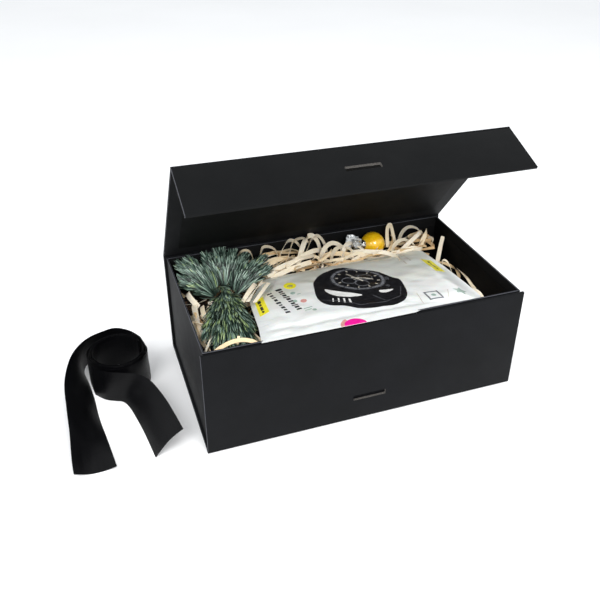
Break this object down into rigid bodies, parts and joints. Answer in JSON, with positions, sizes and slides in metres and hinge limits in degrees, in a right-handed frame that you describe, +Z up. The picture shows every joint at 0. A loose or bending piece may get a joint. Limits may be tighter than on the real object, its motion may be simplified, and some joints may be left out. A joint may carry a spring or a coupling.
{
  "type": "gift box",
  "caption": "Rigid book-style gift box with a hinged lid and magnetic flap, wood wool filling, a gift pouch, fir sprigs, a bauble and a loose satin ribbon.",
  "frame": {"origin": "centre of the case's footprint on the table", "axes": "+X to the box's right along its width, +Y to its back, towards the lid's hinge, +Z up"},
  "size_m": [0.4511, 0.1872, 0.2653],
  "materials": {
    "greyboard": "matte",
    "black_paper": "matte",
    "black_liner": "matte",
    "stay_paper": "matte",
    "steel": "satin",
    "magnet": "satin",
    "foam_tape": "matte",
    "wood_shavings": "matte",
    "fir": "matte",
    "film": "glossy",
    "gold_ball": "glossy",
    "silver_cap": "glossy",
    "silver_wire": "glossy",
    "satin": "satin"
  },
  "bodies": {
    "case": {"base_board": "greyboard", "front_board": "greyboard", "back_board": "greyboard", "base_wrap": "black_paper", "front_wrap": "black_paper", "back_wrap": "black_paper", "front_fold": "black_paper", "back_fold": "black_paper", "front_keepers": "steel", "front_tapes": "foam_tape", "tray_front_wall": "greyboard", "tray_back_wall": "greyboard", "tray_left_wall": "greyboard", "tray_right_wall": "greyboard", "tray_floor": "greyboard", "tray_corner_stays": "stay_paper", "tray_wrap": "black_paper", "tray_lining": "black_liner", "wood_wool": "wood_shavings", "fir_sprig_left": "fir", "fir_sprig_back": "fir", "fir_sprig_right": "fir", "fir_sprig_front": "fir", "lid_crease": "black_paper"},
    "lid": {"lid_board": "greyboard", "lid_wrap": "black_paper", "lid_liner": "black_liner", "flap_crease": "black_paper"},
    "flap": {"flap_board": "greyboard", "flap_wrap": "black_paper", "flap_liner": "black_liner", "flap_magnets": "magnet"},
    "pouch": {"gift_pouch": "film"},
    "bauble": {"bauble_ball": "gold_ball", "bauble_cap": "silver_cap", "bauble_loop": "silver_wire"},
    "ribbon": {"satin_ribbon": "satin"}
  },
  "joints": [
    {"name": "lid_hinge", "type": "hinge", "parent": "case", "child": "lid", "pos_m": [0, 0.09115, 0.11855], "axis": [-1, 0, 0], "range_deg": [-51.5, 128.5]},
    {"name": "flap_fold", "type": "hinge", "parent": "lid", "child": "flap", "pos_m": [0, -0.02451, 0.26396], "axis": [-1, 0, 0], "range_deg": [-17.5, 72.5]},
    {"name": "pouch_lift", "type": "slide", "parent": "case", "child": "pouch", "axis": [0, 0, 1], "range_m": [0, 0.048]},
    {"name": "bauble_lift", "type": "slide", "parent": "case", "child": "bauble", "axis": [0, -0.6225, 0.7826], "range_m": [0, 0.1]},
    {"name": "ribbon_lift", "type": "slide", "parent": "case", "child": "ribbon", "axis": [0, 0, 1], "range_m": [0, 0.06]}
  ]
}
